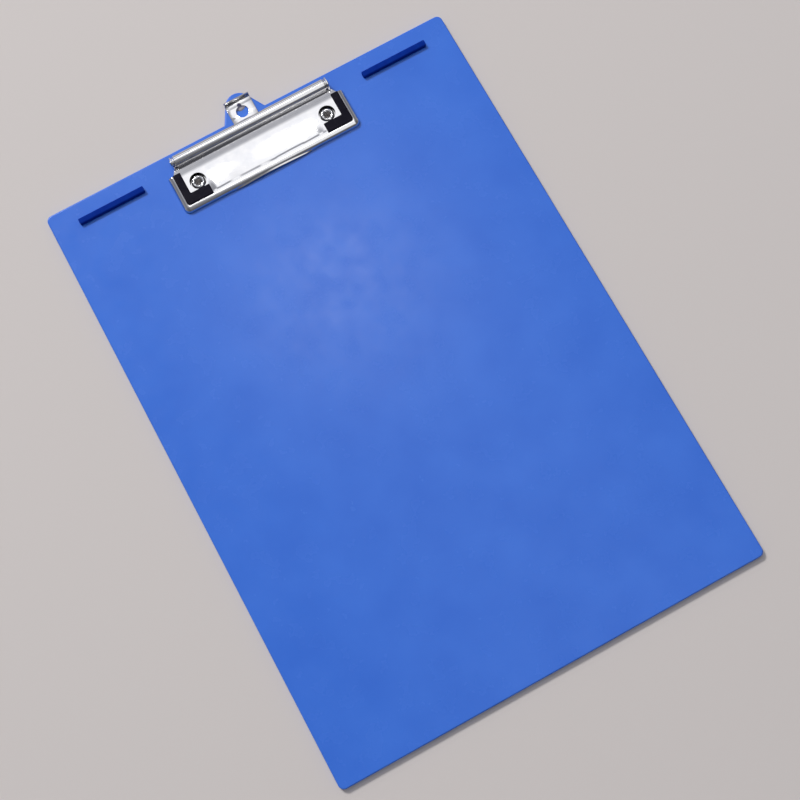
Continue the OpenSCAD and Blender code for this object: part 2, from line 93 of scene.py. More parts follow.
def dress(material, *names):
    # gives CAD nodes one material
    for name in names:
        nodes[name].data.materials.clear()
        nodes[name].data.materials.append(material)


# shapes: every one is worked out in millimetres and put down in metres, its object at the origin

def addPiece(name, shells, material, smooth=40):
    # one object from closed shells of (points, faces); edges sharper than the angle stay sharp
    points, faces, start = [], [], 0
    for shellPoints, shellFaces in shells:
        points.append(np.asarray(shellPoints, float).reshape(-1, 3))
        faces += [tuple(int(i) + start for i in face) for face in shellFaces]
        start += len(points[-1])
    mesh = bpy.data.meshes.new(name)
    mesh.from_pydata((np.concatenate(points) * mm).tolist(), [], faces)
    mesh.update()
    mesh.shade_smooth()
    mesh.set_sharp_from_angle(angle=math.radians(smooth))
    mesh.materials.append(material)
    made = bpy.data.objects.new(name, mesh)
    bpy.context.scene.collection.objects.link(made)
    return made


def gridFaces(rows, cols, start=0, wrap=False):
    # quads between neighbouring rows and columns of a grid; wrap joins the last column to the first
    i, j = np.meshgrid(np.arange(rows - 1), np.arange(cols if wrap else cols - 1), indexing="ij")
    a, b = i * cols + j, i * cols + (j + 1) % cols
    return (np.stack([a, b, b + cols, a + cols], -1).reshape(-1, 4) + start).tolist()


def loopTube(rings):
    # closed rings (n, k, 3), each joined to the next, the two ends capped by one face each
    n, k = rings.shape[:2]
    last = (n - 1) * k
    faces = gridFaces(n, k, wrap=True)
    faces += [tuple(range(k - 1, -1, -1)), tuple(range(last, last + k))]
    return outward(rings.reshape(-1, 3), faces)


def sheetShell(upper, lower):
    # two grids of the same size, one over the other, with a wall of quads round their border
    rows, cols = upper.shape[:2]
    m = rows * cols
    index = np.arange(m).reshape(rows, cols)
    border = np.concatenate([index[0, :-1], index[:-1, -1], index[-1, :0:-1], index[:0:-1, 0]])
    after = np.roll(border, -1)
    faces = gridFaces(rows, cols) + [face[::-1] for face in gridFaces(rows, cols, m)]
    faces += np.stack([border, border + m, after + m, after], -1).tolist()
    return outward(np.concatenate([upper.reshape(-1, 3), lower.reshape(-1, 3)]), faces)


def outward(points, faces):
    # turns a closed shell's faces over where its signed volume, the sum of the triangles'
    # first corner dotted with the cross product of the other two, comes out below zero
    volume = 0.0
    for sides in {len(f) for f in faces}:
        corners = points[np.array([f for f in faces if len(f) == sides])]
        for k in range(1, sides - 1):
            volume += np.einsum("ij,ij->", corners[:, 0], np.cross(corners[:, k], corners[:, k + 1]))
    return points, faces if volume > 0 else [face[::-1] for face in faces]


def prism(outline, low, high, place):
    # an outline (k, 2) carried from low to high; place(a, b, height) gives x, y, z
    a, b = np.asarray(outline, float).T
    return loopTube(np.stack([np.stack(place(a, b, np.full(len(a), h)), -1) for h in (low, high)]))


def revolve(profile, centre, spin=lambda angle, r, z: (r, z), around=96):
    # a closed profile of (radius, height) turned about a vertical axis; spin may change it with the angle
    profile = np.asarray(profile, float)
    angle = np.linspace(0, 2 * np.pi, around, endpoint=False)[:, None]
    r, z = spin(angle, profile[None, :, 0] + 0 * angle, profile[None, :, 1] + 0 * angle)
    rings = np.stack([centre[0] + r * np.cos(angle), centre[1] + r * np.sin(angle), centre[2] + z], -1)
    k = len(profile)
    i, j = np.meshgrid(np.arange(around), np.arange(k), indexing="ij")
    a, b = i * k + j, i * k + (j + 1) % k
    a2, b2 = (i + 1) % around * k + j, (i + 1) % around * k + (j + 1) % k
    return outward(rings.reshape(-1, 3), np.stack([a, b, b2, a2], -1).reshape(-1, 4).tolist())


def arc(centre, r, start, end, count):
    # points on a circle from one angle to another, in degrees
    angle = np.radians(np.linspace(start, end, count))
    return np.stack([centre[0] + r * np.cos(angle), centre[1] + r * np.sin(angle)], -1)


def circle(centre, r, count):
    # evenly spaced points round a whole circle, the first not repeated at the end
    return arc(centre, r, 0, 360 - 360 / count, count)


def bend(s):
    # a smooth step from 0 to 1 with level ends, 3s^2 - 2s^3
    s = np.clip(s, 0, 1)
    return s * s * (3 - 2 * s)


boardTop = 157.5     # y of the board's top edge; an inset t is the point y = boardTop - t


# camera, solved from the board's four corners in the photograph
camera = {
    "place": (-0.0518, -0.14927, 0.67146),
    "right": (0.87758, -0.47824, -0.03376),
    "up": (0.47381, 0.8544, 0.21331),
    "back": (-0.07317, -0.20319, 0.9764),
    "lens": 63.95,
    "sensor": 36,
    "clip": (0.01, 20),
}
cameraData = bpy.data.cameras.new("camera")
cameraData.lens = camera["lens"]
cameraData.sensor_width = camera["sensor"]
cameraData.clip_start, cameraData.clip_end = camera["clip"]
cameraObject = bpy.data.objects.new("camera", cameraData)
bpy.context.scene.collection.objects.link(cameraObject)
axes = Matrix((camera["right"], camera["up"], camera["back"])).transposed()
cameraObject.matrix_world = Matrix.Translation(camera["place"]) @ axes.to_4x4()
bpy.context.scene.camera = cameraObject
bpy.context.scene.view_settings.view_transform = "Standard"


# studio: a pale floor, a dim cool sky, one long bright window overhead that runs away from the camera,
# a lamp behind the clip that gives the shadows, and a small one whose glow lies on the board before the clip
studio = {
    "floor": "#cfc8c4",
    "floorHalf": 12.0,
    "floorRoughness": 0.8,
    # sky strengths by how far a direction leans (0 to 1 stands for -1 to 1): dark in front,
    # paler behind the clip, and each strength's share from left to right
    "sky": [(0.0, 0.14), (0.05, 0.18), (0.15, 0.27), (0.42, 0.30), (0.56, 0.45), (0.74, 0.48), (1.0, 0.45)],
    "skySides": [(0.0, 0.95), (0.08, 0.75), (0.22, 0.48), (0.40, 1.0), (0.62, 1.0), (0.80, 0.42),
                 (0.93, 0.70), (1.0, 0.9)],
    "skyTint": (0.94, 0.96, 1.06),
    # the window's strength from front to back, and its share across the line that it runs along
    "window": [(0.08, 0.0), (0.14, 1.0), (0.725, 1.0), (0.77, 0.16), (0.85, 0.16), (0.88, 1.0),
               (0.94, 1.0), (0.96, 0.0)],
    "windowSides": [(0.485, 0.0), (0.50, 1.0), (0.59, 1.0), (0.64, 0.0)],
    "windowLine": (0.992, 0.120, -0.020),
    "windowStrength": 0.95,
    "glow": {"place": (0.13, 0.59, 1.70), "aim": (0.0, 0.06, 0.0), "size": (0.22, 0.16), "power": 1.3},
    "key": {"place": (-0.90, 3.06, 3.15), "aim": (0.0, 0.0, 0.0), "size": (0.90, 0.81), "power": 132.0},
}


def addLamp(name, lamp):
    # a soft rectangular lamp at its place, facing its aim
    data = bpy.data.lights.new(name, "AREA")
    data.shape = "RECTANGLE"
    data.size, data.size_y = lamp["size"]
    data.energy = lamp["power"]
    made = bpy.data.objects.new(name, data)
    bpy.context.scene.collection.objects.link(made)
    made.location = lamp["place"]
    made.rotation_euler = (Vector(lamp["aim"]) - Vector(lamp["place"])).to_track_quat("-Z", "Y").to_euler()


floorPaint, tree = newMaterial("paintedFloor")
shader = addNode(tree, "BsdfPrincipled", {"Base Color": hexToLinear(studio["floor"]),
                                          "Roughness": studio["floorRoughness"]})
addNode(tree, "OutputMaterial", None, {"Surface": shader})
half = studio["floorHalf"]
floorMesh = bpy.data.meshes.new("floor")
floorCorners = [(-half, -half, 0), (half, -half, 0), (half, half, 0), (-half, half, 0)]
floorMesh.from_pydata(floorCorners, [], [(0, 1, 2, 3)])
floorMesh.materials.append(floorPaint)
floor = bpy.data.objects.new("floor", floorMesh)
bpy.context.scene.collection.objects.link(floor)

addLamp("keyLamp", studio["key"])
addLamp("glowLamp", studio["glow"])

# the sky: its own strength plus the window's, which is the product of the two ramps
world = bpy.data.worlds.new("studioSky")
bpy.context.scene.world = world
world.use_nodes = True
tree = world.node_tree
tree.nodes.clear()
direction = addNode(tree, "TexCoord").outputs["Generated"]
depth = addNode(tree, "SeparateXYZ", None, {"Vector": direction}).outputs["Y"]
across = addNode(tree, "VectorMath", {"operation": "DOT_PRODUCT", 1: studio["windowLine"]}, {0: direction})
depthLean, sideLean = [addNode(tree, "MapRange", {"From Min": -1.0, "From Max": 1.0}, {"Value": value})
                       for value in (depth, across.outputs["Value"])]
base, edges, along, sides = [
    addNode(tree, "ValToRGB", {"stops": [(place, (v, v, v)) for place, v in studio[name]]}, {"Fac": lean})
    for name, lean in (("sky", depthLean), ("skySides", sideLean), ("window", depthLean), ("windowSides", sideLean))]
share = addNode(tree, "Math", {"operation": "MULTIPLY"}, {0: along, 1: sides})
shaded = addNode(tree, "VectorMath", {"operation": "MULTIPLY"}, {0: base, 1: edges})
tinted = addNode(tree, "VectorMath", {"operation": "MULTIPLY", 1: studio["skyTint"]}, {0: shaded})
strength = addNode(tree, "VectorMath", {"operation": "MULTIPLY_ADD", 1: (studio["windowStrength"],) * 3},
                   {0: share, 2: tinted})
background = addNode(tree, "Background", None, {"Color": strength})
addNode(tree, "OutputWorld", None, {"Surface": background})
print("studio and camera set")


# materials: sizes and heights in their dictionaries are millimetres

noiseLow, noiseHigh = 0.3, 0.7     # nearly all of a noise's values lie between these

# Moulded polypropylene, coloured through: a satin skin with a spark-eroded grain, the sheet a touch wavy;
# the real grain is about 0.3 mm and is drawn coarser, so that it shows
boardLook = {"paler": "#3b73da", "deeper": "#346cd4", "mottle": 26.0, "satin": (0.22, 0.29),
             "satinPatch": 9.0, "wave": 60.0, "waveHeight": 0.22, "grain": 1.5, "grainHeight": 0.012}
boardPlastic, tree = newMaterial("mouldedPolypropylene")
point = addNode(tree, "TexCoord").outputs["Object"]
mottle = addNode(tree, "TexNoise", {"Scale": perMm(boardLook["mottle"]), "Detail": 3.0}, {"Vector": point})
shades = [(noiseLow, boardLook["deeper"]), (noiseHigh, boardLook["paler"])]
colour = addNode(tree, "ValToRGB", {"stops": shades}, {"Fac": mottle})
patch = addNode(tree, "TexNoise", {"Scale": perMm(boardLook["satinPatch"]), "Detail": 3.0}, {"Vector": point})
satin = addNode(tree, "MapRange", {"From Min": noiseLow, "From Max": noiseHigh, "To Min": boardLook["satin"][0],
                                   "To Max": boardLook["satin"][1]}, {"Value": patch})
swell = addNode(tree, "TexNoise", {"Scale": perMm(boardLook["wave"]), "Detail": 1.0}, {"Vector": point})
wave = addNode(tree, "Bump", {"Strength": 1.0, "Distance": boardLook["waveHeight"] * mm}, {"Height": swell})
speckle = addNode(tree, "TexNoise", {"Scale": perMm(boardLook["grain"]), "Detail": 1.0}, {"Vector": point})
grain = addNode(tree, "Bump", {"Strength": 1.0, "Distance": boardLook["grainHeight"] * mm},
                {"Height": speckle, "Normal": wave})
shader = addNode(tree, "BsdfPrincipled", {"IOR": 1.49, "Specular IOR Level": 0.3},
                 {"Base Color": colour, "Roughness": satin, "Normal": grain})
addNode(tree, "OutputMaterial", None, {"Surface": shader})
dress(boardPlastic, "board")

# Moulded polypropylene again, dyed deep navy and blasted matt, so nearly no highlight
stopLook = {"paler": "#082e8c", "deeper": "#062683", "mottle": 3.0, "roughness": 0.6, "grain": 0.5,
            "grainHeight": 0.01}
stopPlastic, tree = newMaterial("mattNavyPolypropylene")
point = addNode(tree, "TexCoord").outputs["Object"]
mottle = addNode(tree, "TexNoise", {"Scale": perMm(stopLook["mottle"]), "Detail": 3.0}, {"Vector": point})
shades = [(noiseLow, stopLook["deeper"]), (noiseHigh, stopLook["paler"])]
colour = addNode(tree, "ValToRGB", {"stops": shades}, {"Fac": mottle})
speckle = addNode(tree, "TexNoise", {"Scale": perMm(stopLook["grain"]), "Detail": 2.0}, {"Vector": point})
grain = addNode(tree, "Bump", {"Strength": 1.0, "Distance": stopLook["grainHeight"] * mm}, {"Height": speckle})
shader = addNode(tree, "BsdfPrincipled", {"Roughness": stopLook["roughness"], "Specular IOR Level": 0.02},
                 {"Base Color": colour, "Normal": grain})
addNode(tree, "OutputMaterial", None, {"Surface": shader})
dress(stopPlastic, "paper_stop_left", "paper_stop_right")

# Bright nickel plate on pressed steel sheet: a neutral mirror, wavy from the press, with faint polish lines
# 30 times longer than wide along the clip; on the base plate, under the clamp, it is rougher and its colours are
# darkened as painted shade
nickelLook = {"clean": "#d6d5d5", "dull": "#cfcfd1", "stain": 4.0, "roughness": (0.05, 0.11), "lineLength": 30,
              "wave": 7.0, "waveHeight": 0.006, "scratch": 0.35, "scratchHeight": 0.0012}
# the base plate's copy: rougher, and its colours darkened as painted shade for where it lies under the clamp
nickelShadedLook = {**nickelLook, "clean": "#c4c3c3", "dull": "#a9a8a8", "roughness": (0.11, 0.25)}


def platedNickel(name, look):
    # one finish of the plate from its values
    made, tree = newMaterial(name)
    point = addNode(tree, "TexCoord").outputs["Object"]
    stain = addNode(tree, "TexNoise", {"Scale": perMm(look["stain"]), "Detail": 4.0}, {"Vector": point})
    shades = [(noiseLow, look["dull"]), (noiseHigh, look["clean"])]
    colour = addNode(tree, "ValToRGB", {"stops": shades}, {"Fac": stain})
    drawn = addNode(tree, "Mapping", {"Scale": (1 / look["lineLength"], 1, 1)}, {"Vector": point})
    lines = addNode(tree, "TexNoise", {"Scale": perMm(look["scratch"]), "Detail": 3.0}, {"Vector": drawn})
    matt = addNode(tree, "MapRange", {"From Min": noiseLow, "From Max": noiseHigh, "To Min": look["roughness"][0],
                                      "To Max": look["roughness"][1]}, {"Value": lines})
    swell = addNode(tree, "TexNoise", {"Scale": perMm(look["wave"]), "Detail": 1.0}, {"Vector": point})
    wave = addNode(tree, "Bump", {"Strength": 1.0, "Distance": look["waveHeight"] * mm}, {"Height": swell})
    fine = addNode(tree, "Bump", {"Strength": 1.0, "Distance": look["scratchHeight"] * mm},
                   {"Height": lines, "Normal": wave})
    shader = addNode(tree, "BsdfPrincipled", {"Metallic": 1.0},
                     {"Base Color": colour, "Roughness": matt, "Normal": fine})
    addNode(tree, "OutputMaterial", None, {"Surface": shader})
    return made


nickel = platedNickel("platedNickel", nickelLook)
# the darker copy of the nickel is painted shade on the base plate under the clamp
nickelPaintedShade = platedNickel("platedNickelPaintedShade", nickelShadedLook)
dress(nickelPaintedShade, "clip_base_plate")
dress(nickel, "clamp_plate", "hanging_hook", "rivet_left", "rivet_right")

# Drawn spring steel: grey, half bright, with die lines along the pin's wire
steelLook = {"pale": "#aeb0b4", "dark": "#8d8f94", "stain": 1.5, "roughness": (0.22, 0.40), "line": 0.2,
             "lineLength": 12, "grain": 0.3, "grainHeight": 0.002}
steel, tree = newMaterial("drawnSteel")
point = addNode(tree, "TexCoord").outputs["Object"]
stain = addNode(tree, "TexNoise", {"Scale": perMm(steelLook["stain"]), "Detail": 3.0}, {"Vector": point})
shades = [(noiseLow, steelLook["dark"]), (noiseHigh, steelLook["pale"])]
colour = addNode(tree, "ValToRGB", {"stops": shades}, {"Fac": stain})
drawn = addNode(tree, "Mapping", {"Scale": (1 / steelLook["lineLength"], 1, 1)}, {"Vector": point})
lines = addNode(tree, "TexNoise", {"Scale": perMm(steelLook["line"]), "Detail": 2.0}, {"Vector": drawn})
matt = addNode(tree, "MapRange", {"From Min": noiseLow, "From Max": noiseHigh, "To Min": steelLook["roughness"][0],
                                  "To Max": steelLook["roughness"][1]}, {"Value": lines})
speckle = addNode(tree, "TexNoise", {"Scale": perMm(steelLook["grain"]), "Detail": 2.0}, {"Vector": point})
grain = addNode(tree, "Bump", {"Strength": 1.0, "Distance": steelLook["grainHeight"] * mm}, {"Height": speckle})
shader = addNode(tree, "BsdfPrincipled", {"Metallic": 1.0},
                 {"Base Color": colour, "Roughness": matt, "Normal": grain})
addNode(tree, "OutputMaterial", None, {"Surface": shader})
dress(steel, "hinge_pin", "torsion_spring")

# Moulded rubber: near black with a violet cast, a dull skin rubbed a little shinier in patches, some dust
rubberLook = {"skin": "#100e1b", "dust": "#34313c", "dustSize": 1.1, "dustFrom": 0.55, "dustFull": 0.95,
              "rub": 5.0, "roughness": (0.42, 0.68), "grain": 0.3, "grainHeight": 0.02}
gripRubber, tree = newMaterial("mouldedRubber")
point = addNode(tree, "TexCoord").outputs["Object"]
dust = addNode(tree, "TexNoise", {"Scale": perMm(rubberLook["dustSize"]), "Detail": 4.0, "Roughness": 0.7},
               {"Vector": point})
shades = [(rubberLook["dustFrom"], rubberLook["skin"]), (rubberLook["dustFull"], rubberLook["dust"])]
colour = addNode(tree, "ValToRGB", {"stops": shades}, {"Fac": dust})
rub = addNode(tree, "TexNoise", {"Scale": perMm(rubberLook["rub"]), "Detail": 2.0}, {"Vector": point})
matt = addNode(tree, "MapRange", {"From Min": noiseLow, "From Max": noiseHigh, "To Min": rubberLook["roughness"][0],
                                  "To Max": rubberLook["roughness"][1]}, {"Value": rub})
speckle = addNode(tree, "TexNoise", {"Scale": perMm(rubberLook["grain"]), "Detail": 3.0}, {"Vector": point})
grain = addNode(tree, "Bump", {"Strength": 1.0, "Distance": rubberLook["grainHeight"] * mm}, {"Height": speckle})
shader = addNode(tree, "BsdfPrincipled", {"IOR": 1.5, "Specular IOR Level": 0.06},
                 {"Base Color": colour, "Roughness": matt, "Normal": grain})
addNode(tree, "OutputMaterial", None, {"Surface": shader})
dress(gripRubber, "corner_grip_left", "corner_grip_right")
print("materials done")


# the clamp's sheet: a roll round the pin, a valley, then a flat panel with a rim rounded down on three sides
clampSheet = {
    "thickness": 0.6, "panelTop": 6.0,
    "axis": (6.7, 6.9), "barrelRadius": 2.8, "rollEnd": 225, "barrelHalf": 42.2,     # inset and height
    "valleyBottom": 4.80, "valleyRadius": 0.5, "rampSlope": 17, "rampBreak": (11.2, 5.29), "breakSlope": 13,
    "shoulder": 12.9, "neckInset": 9.6, "neckHalf": 44.1, "neckFlare": 2.1,
    "cheekUnder": 4.1, "heelTop": 5.2, "cheekFrom": -26, "cheekTo": 268,
    "panelHalf": 46.75, "panelFront": 30.95, "cornerRadius": 0.4, "rimRadius": 2.75, "rimFoot": 3.25,
    "kneeSag": 0.20, "kneeLength": 3.4,             # the panel leaves the valley's ramp in a slow curve
    # the panel dishes down towards its front and steps up again at a crease just behind the front rim;
    # the dish fades out over one length at its left end and another at its right
    "dish": 0.56, "dishStart": 17.0, "pressLine": 28.65, "pressWidth": 1.1,
    "dishHalf": 34.0, "dishFades": (5.5, 9.0),
    "waves": [(0.07, 7.3, 0.8), (0.05, 2.6, 0.0)],  # height, length and phase of the crease's waves
    "jogs": [(-0.25, 3.0), (0.2, 18.2)], "jogLength": 1.2,     # how far the crease jogs and at which x
    "faintShare": 0.8, "faintMiddle": -11, "faintReach": 10,   # where the crease is shallowest
    "archHalf": 25.0, "archHeight": 1.4, "archFlare": 0.5, "flareFade": 8, "flareFrom": 0.8,
    "holes": [(-36.5, 21.0), (36.5, 21.0)], "holeRadius": 4.3, "cutHeights": (4.8, 6.6),
}


def kneeSag(t):
    # how far the panel lies below level: falls off as the square of the distance to the knee's end
    rest = np.clip(1 - (t - clampSheet["shoulder"]) / clampSheet["kneeLength"], 0, 1)
    return clampSheet["kneeSag"] * rest ** 2


def panelHeight(x, t):
    # the panel's upper face: level, less the knee's sag and the dish, which deepens slowly towards the front
    # and ends in a short straight step up; the step's line wanders and its height changes along the clip
    c = clampSheet
    line = c["pressLine"]
    for height, length, phase in c["waves"]:
        line = line + height * np.sin(x / length + phase)
    for jog, start in c["jogs"]:
        line = line + jog * bend((x - start) / c["jogLength"])
    faint = c["faintShare"] * np.exp(-((x - c["faintMiddle"]) / c["faintReach"]) ** 2)
    fade = np.where(x < 0, *c["dishFades"])
    depth = c["dish"] * bend((c["dishHalf"] - np.abs(x)) / fade) * (1 - faint)
    fall = bend((t - c["dishStart"]) / (line - c["dishStart"]))
    step = 1 - np.clip((t - line) / c["pressWidth"], 0, 1)
    return c["panelTop"] - kneeSag(t) - depth * fall * step


def rolledMiddle():
    # the sheet's middle line from the roll's free edge to the shoulder, as inset and height
    c = clampSheet
    middle = c["barrelRadius"] - c["thickness"] / 2
    # the valley's small bend touches the roll, so its centre lies both radii away from the axis
    height = c["valleyBottom"] + c["valleyRadius"]
    meet = math.degrees(math.asin((height - c["axis"][1]) / (middle + c["valleyRadius"])))
    centre = (c["axis"][0] + (middle + c["valleyRadius"]) * math.cos(math.radians(meet)), height)
    roll = arc(c["axis"], middle, c["rollEnd"], meet, 90)
    valley = arc(centre, c["valleyRadius"], 180 + meet, 270 + c["rampSlope"], 24)
    # the ramp is two cubics, from the valley's end to a break in slope and on to the shoulder
    stops = [(valley[-1], math.tan(math.radians(c["rampSlope"]))),
             (np.array(c["rampBreak"]), math.tan(math.radians(c["breakSlope"]))),
             (np.array(c["rampBreak"]), 2 * c["kneeSag"] / c["kneeLength"]),
             (np.array([c["shoulder"], c["panelTop"] - c["thickness"] / 2 - c["kneeSag"]]),
              2 * c["kneeSag"] / c["kneeLength"])]
    s = np.linspace(0, 1, 16)[1:]
    ramp = []
    for (start, slope), (end, endSlope) in (stops[:2], stops[2:]):
        run = end[0] - start[0]
        height = ((2 * s**3 - 3 * s**2 + 1) * start[1] + (s**3 - 2 * s**2 + s) * run * slope
                  + (3 * s**2 - 2 * s**3) * end[1] + (s**3 - s**2) * run * endSlope)
        ramp.append(np.stack([start[0] + s * run, height], -1))
    return np.concatenate([roll, valley[1:]] + ramp)


def rolledSheet():
    # the middle line moved half a thickness along its normal to each side, and carried across the clip
    c = clampSheet
    line = rolledMiddle()
    along = np.gradient(line, axis=0)
    normal = np.stack([along[:, 1], -along[:, 0]], -1) / np.linalg.norm(along, axis=1)[:, None]
    u = np.linspace(-1, 1, 41)
    faces = []
    t = np.broadcast_to(line[:, :1], (len(line), len(u)))
    flare = c["neckHalf"] + c["neckFlare"] * (t - c["neckInset"]) / (c["shoulder"] - c["neckInset"])
    half = np.where(t < c["neckInset"], c["barrelHalf"], flare)
    for s in (0.5, -0.5):
        side = line + s * c["thickness"] * normal
        faces.append(np.stack([u * half, boardTop - side[:, :1] + 0 * half, side[:, 1:] + 0 * half], -1))
    return sheetShell(faces[0], faces[1])


def panelSheet():
    # a grid over the panel, finer at the knee and the crease, its heights from panelHeight,
    # and the same again one thickness lower
    c = clampSheet
    kneeEnd, creaseStart = 18, 28
    t = np.concatenate([np.linspace(c["shoulder"], kneeEnd, 22), np.linspace(kneeEnd, creaseStart, 16)[1:],
                        np.linspace(creaseStart, c["panelFront"], 38)[1:]])
    x = np.linspace(-c["panelHalf"], c["panelHalf"], 221)
    x, t = np.meshgrid(x, t)
    upper = np.stack([x, boardTop - t, panelHeight(x, t)], -1)
    return sheetShell(upper, upper - [0, 0, c["thickness"]])


def rimSheet():
    # a quarter round carried down one side, round the corner, across the front and up the other side;
    # its height starts from the panel's edge, and its foot rises and flares out a little over the thumb arch
    c = clampSheet
    r, edge, front = c["cornerRadius"], c["panelHalf"], c["panelFront"]
    sideT = np.linspace(c["shoulder"], front - r, 24)
    turn = np.radians(np.linspace(0, 90, 14))
    ahead, aside = np.sin(turn), np.cos(turn)
    right = np.concatenate([np.stack([edge + 0 * sideT, sideT, 1 + 0 * sideT, 0 * sideT], -1)[:-1],
                            np.stack([edge - r + r * aside, front - r + r * ahead, aside, ahead], -1)])
    left = right[::-1] * [-1, 1, -1, 1]
    frontX = np.linspace(edge - r, -(edge - r), 241)[1:-1]
    across = np.stack([frontX, front + 0 * frontX, 0 * frontX, 1 + 0 * frontX], -1)
    x, t, outX, outT = np.concatenate([right, across, left])[:, :, None].transpose(1, 0, 2)
    top = panelHeight(x, t)
    inFront = outT > 0.9
    arch = np.clip(1 - (x / c["archHalf"]) ** 2, 0, 1) * c["archHeight"] * inFront
    flare = bend((c["archHalf"] - np.abs(x)) / c["flareFade"]) * c["archFlare"] * inFront
    v = np.linspace(0, 1, 25)[None, :]
    late = bend((v - c["flareFrom"]) / (1 - c["flareFrom"])) ** 2
    loops = []
    for inside in (0, c["thickness"]):
        rise = top - inside - c["rimFoot"]
        angle = v * np.arccos(arch / rise)
        away = (c["rimRadius"] - inside) * np.sin(angle) + flare * late
        height = c["rimFoot"] + rise * np.cos(angle)
        loops.append(np.stack([x + outX * away, boardTop - t - outT * away, height], -1))
    return loopTube(np.concatenate([loops[0], loops[1][:, ::-1]], 1))


def cheeks():
    # a disc with a heel round each end of the pin, and the wall that flares from it out to the shoulder
    c = clampSheet
    inside, heel = c["neckHalf"] - c["thickness"], c["neckInset"] + c["thickness"]
    outline = np.concatenate([[(c["axis"][0], c["cheekUnder"]), (heel, c["cheekUnder"]), (heel, c["heelTop"])],
                              arc(c["axis"], c["barrelRadius"], c["cheekFrom"], c["cheekTo"], 60)])
    rampLine = rolledMiddle()[-40:]
    t = np.linspace(c["neckInset"], c["shoulder"], 8)
    top = np.interp(t, rampLine[:, 0], rampLine[:, 1])
    flare = c["neckFlare"] * (t - t[0]) / (t[-1] - t[0])
    corners = [(inside, 0), (c["neckHalf"], 0), (c["neckHalf"], 1), (inside, 1)]
    shells = []
    for s in (-1, 1):
        shells.append(prism(outline, s * inside, s * c["neckHalf"], lambda a, b, h: (h, boardTop - a, b)))
        shells.append(loopTube(np.stack([
            np.stack([s * (x + flare), boardTop - t, np.where(upper, top, c["cheekUnder"])], -1)
            for x, upper in corners], 1)))
    return shells


def cutShell(shell, cutters):
    # a shell less its cutters, by the exact boolean; the modifier is applied, so nothing stays live
    work = addPiece("work", [shell], nickel)
    tool = addPiece("tool", cutters, nickel)
    modifier = work.modifiers.new("cut", "BOOLEAN")
    modifier.operation, modifier.solver, modifier.object = "DIFFERENCE", "EXACT", tool
    mesh = bpy.data.meshes.new_from_object(work.evaluated_get(bpy.context.evaluated_depsgraph_get()))
    points = np.empty(len(mesh.vertices) * 3)
    mesh.vertices.foreach_get("co", points)
    faces = [tuple(polygon.vertices) for polygon in mesh.polygons]
    for spent in (work.data, tool.data, mesh):
        bpy.data.meshes.remove(spent)
    return points.reshape(-1, 3) / mm, faces


# the corner grips: an L of rubber through a slot in each front corner, foot, waist and rounded cap
gripBlock = {
    "side": 46.75, "rear": 12.7, "front": 30.75, "sideWidth": 4.1, "frontWidth": 5.6, "frontLength": 14.4,
    "outerCorner": 1.6, "corner": 0.45, "inner": 0.6, "slotIn": 0.98,
    # distance in from the cap's outline, and height
    "steps": [(0.7, 3.0), (0.4, 3.25), (0.4, 5.38), (1.0, 5.4), (1.0, 6.0), (0.06, 6.0), (0.0, 6.08), (0.0, 6.2),
              (0.07, 6.34), (0.22, 6.44), (0.45, 6.49), (0.8, 6.5)],
}


def gripOutline(d):
    # the L drawn in by d all round, with rounded corners, as x and inset
    g = gripBlock
    left, right = g["side"] - g["sideWidth"] + d, g["side"] - d
    rear, front = g["rear"] + d, g["front"] - d
    tip, shelf = g["side"] - g["frontLength"] + d, g["front"] - g["frontWidth"] + d
    small, big, inner = max(g["corner"] - d, 0.1), max(g["outerCorner"] - d, 0.2), g["inner"] + d
    return np.concatenate([
        arc((left + small, rear + small), small, 180, 270, 7),
        arc((right - small, rear + small), small, 270, 360, 7),
        arc((right - big, front - big), big, 0, 90, 15),
        arc((tip + small, front - small), small, 90, 180, 7),
        arc((tip + small, shelf + small), small, 180, 270, 7),
        arc((left - inner, shelf - inner), inner, 90, 0, 9)])


def gripShell(s):
    # the outline carried up through the steps, lower at its rear by the panel's sag
    rings = []
    for d, z in gripBlock["steps"]:
        x, t = gripOutline(d).T
        rings.append(np.stack([s * x, boardTop - t, z - kneeSag(t)], -1))
    return loopTube(np.stack(rings))


def panelCutter(outline, s=1):
    # an outline of x and inset carried up through the panel, its x times s
    return prism(outline, *clampSheet["cutHeights"], lambda a, b, h: (s * a, boardTop - b, h))


# the access holes over the rivets, and the grips' slots, a hair wider than the grips' waists
panelCutters = [panelCutter(circle(centre, clampSheet["holeRadius"], 96)) for centre in clampSheet["holes"]]
panelCutters += [panelCutter(gripOutline(gripBlock["slotIn"]), s) for s in (-1, 1)]
panel = cutShell(panelSheet(), panelCutters)
clampPiece = addPiece("clampSheet", [rolledSheet(), panel, rimSheet()] + cheeks(), nickel)
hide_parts("clamp_plate")
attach(clampPiece, "clamp")

for s, side in ((-1, "left"), (1, "right")):
    grip = addPiece("gripBlock_" + side, [gripShell(s)], gripRubber, 50)
    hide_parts("corner_grip_" + side)
    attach(grip, "clamp")
print("clamp and grips made")


# the rivets: a flat head under the board, a tube, and an end rolled over the base plate in small petals
rivetTube = {"bore": 1.5, "radius": 2.0, "foot": 0.2, "head": 3.3, "headRim": 0.3, "plateTop": 3.7,
             "rollCentre": (2.55, 4.143), "rollIn": 0.55, "rollOut": 1.05, "rollDip": 25,
             "petals": 7, "petalDepth": 0.07, "petalDrop": 0.8,
             # the petals grow from a height and a radius, each over a distance
             "petalFoot": (3.9, 0.5), "petalRoot": (1.6, 1.2)}


